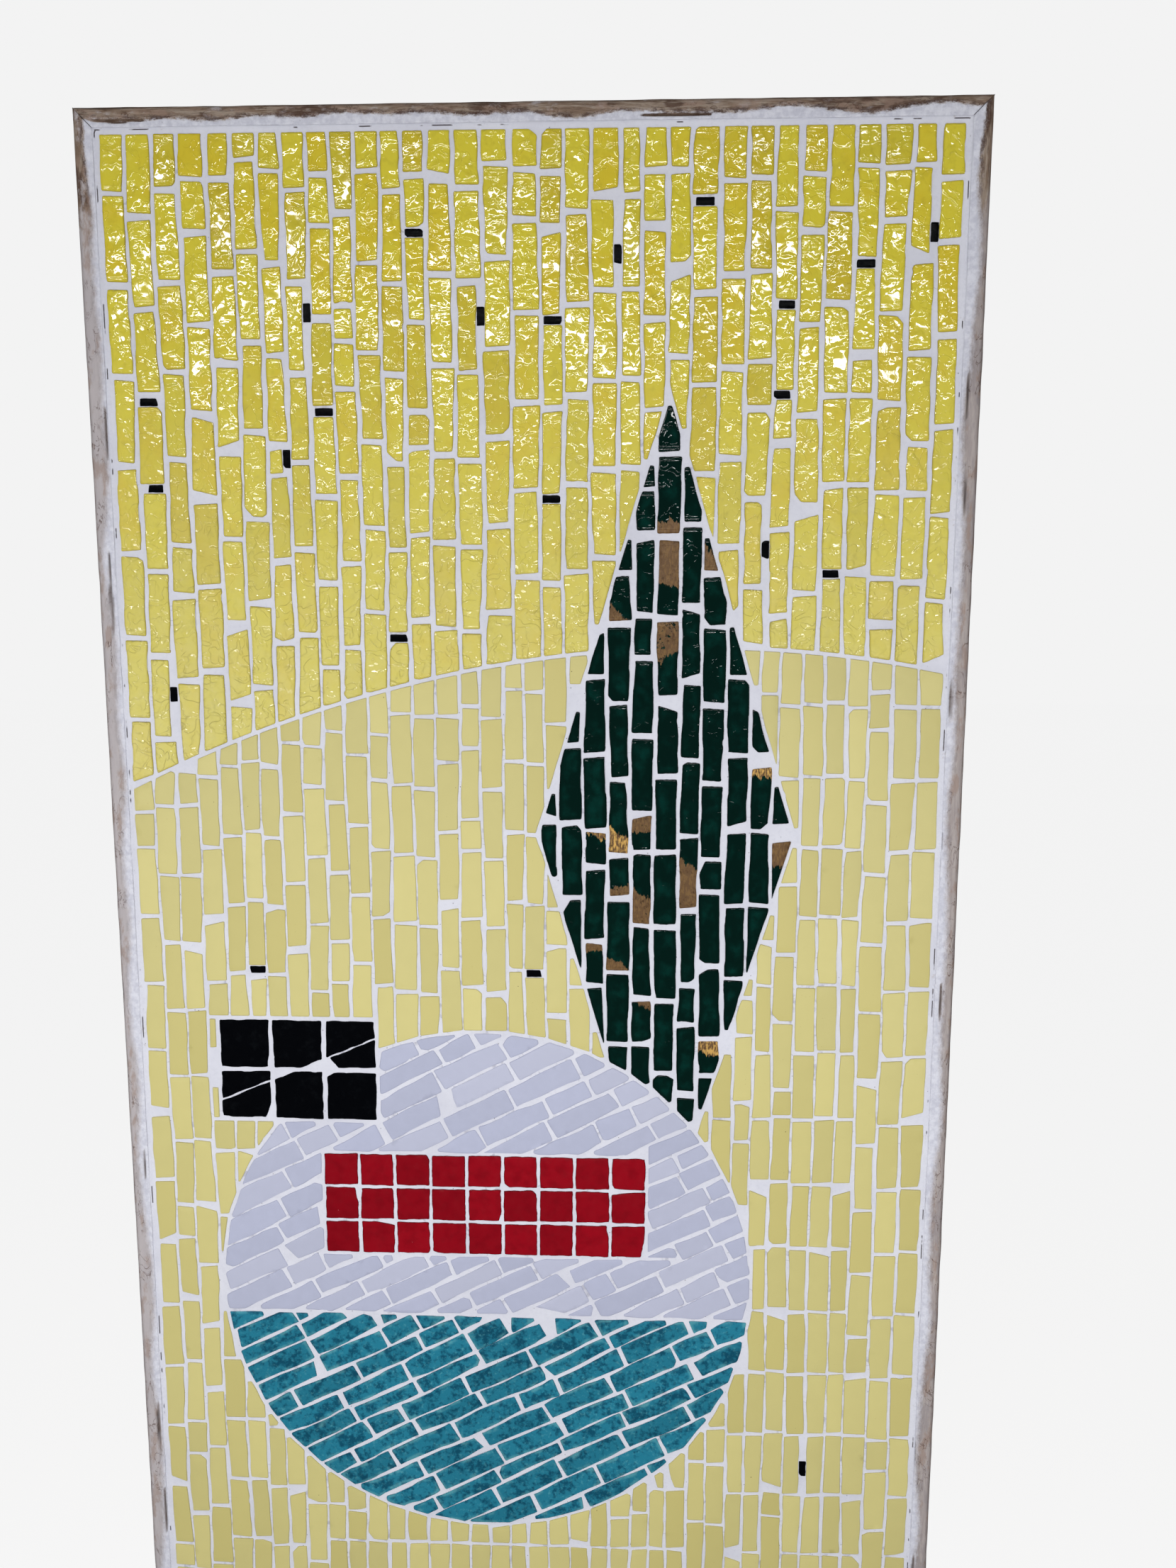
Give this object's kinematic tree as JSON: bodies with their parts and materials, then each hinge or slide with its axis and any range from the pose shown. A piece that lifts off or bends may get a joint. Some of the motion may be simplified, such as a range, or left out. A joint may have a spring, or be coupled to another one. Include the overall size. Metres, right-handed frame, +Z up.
{
  "type": "mosaic panel",
  "caption": "Framed wall mosaic: cut glazed ceramic strips and squares set in pale grout on a wooden board, edged with mitred wooden rails.",
  "frame": {"origin": "centre of the board's flat back, where the panel meets the wall", "axes": "+X to the right seen from the front, +Y into the wall (the face looks to -Y), +Z up along the panel's height"},
  "size_m": [0.5, 0.023, 0.92],
  "materials": {
    "board": "bare flat board, unfinished",
    "wood": "weathered brown-grey batten, cracked, with dried grout smeared on it",
    "bright_yellow": "very glossy lemon to warm yellow glaze with a rippled surface",
    "pale_yellow": "satin pale yellow glaze with tiny dark specks",
    "dark_green": "glossy bottle-green glaze, some tiles patched with worn bronze leaf",
    "lilac_white": "satin lilac-white glaze",
    "teal": "satin mottled teal glaze",
    "deep_red": "glossy deep red glaze with fine pale specks",
    "black": "glossy black glaze",
    "grout": "matt off-white cement grout, smooth above and pitted below"
  },
  "bodies": {
    "root": {"backing_board": "board", "rail_top": "wood", "rail_bottom": "wood", "rail_left": "wood", "rail_right": "wood", "bright_ground": "bright_yellow", "pale_ground": "pale_yellow", "green_lozenge": "dark_green", "white_half_disc": "lilac_white", "teal_half_disc": "teal", "red_bar": "deep_red", "black_block": "black"}
  },
  "joints": []
}
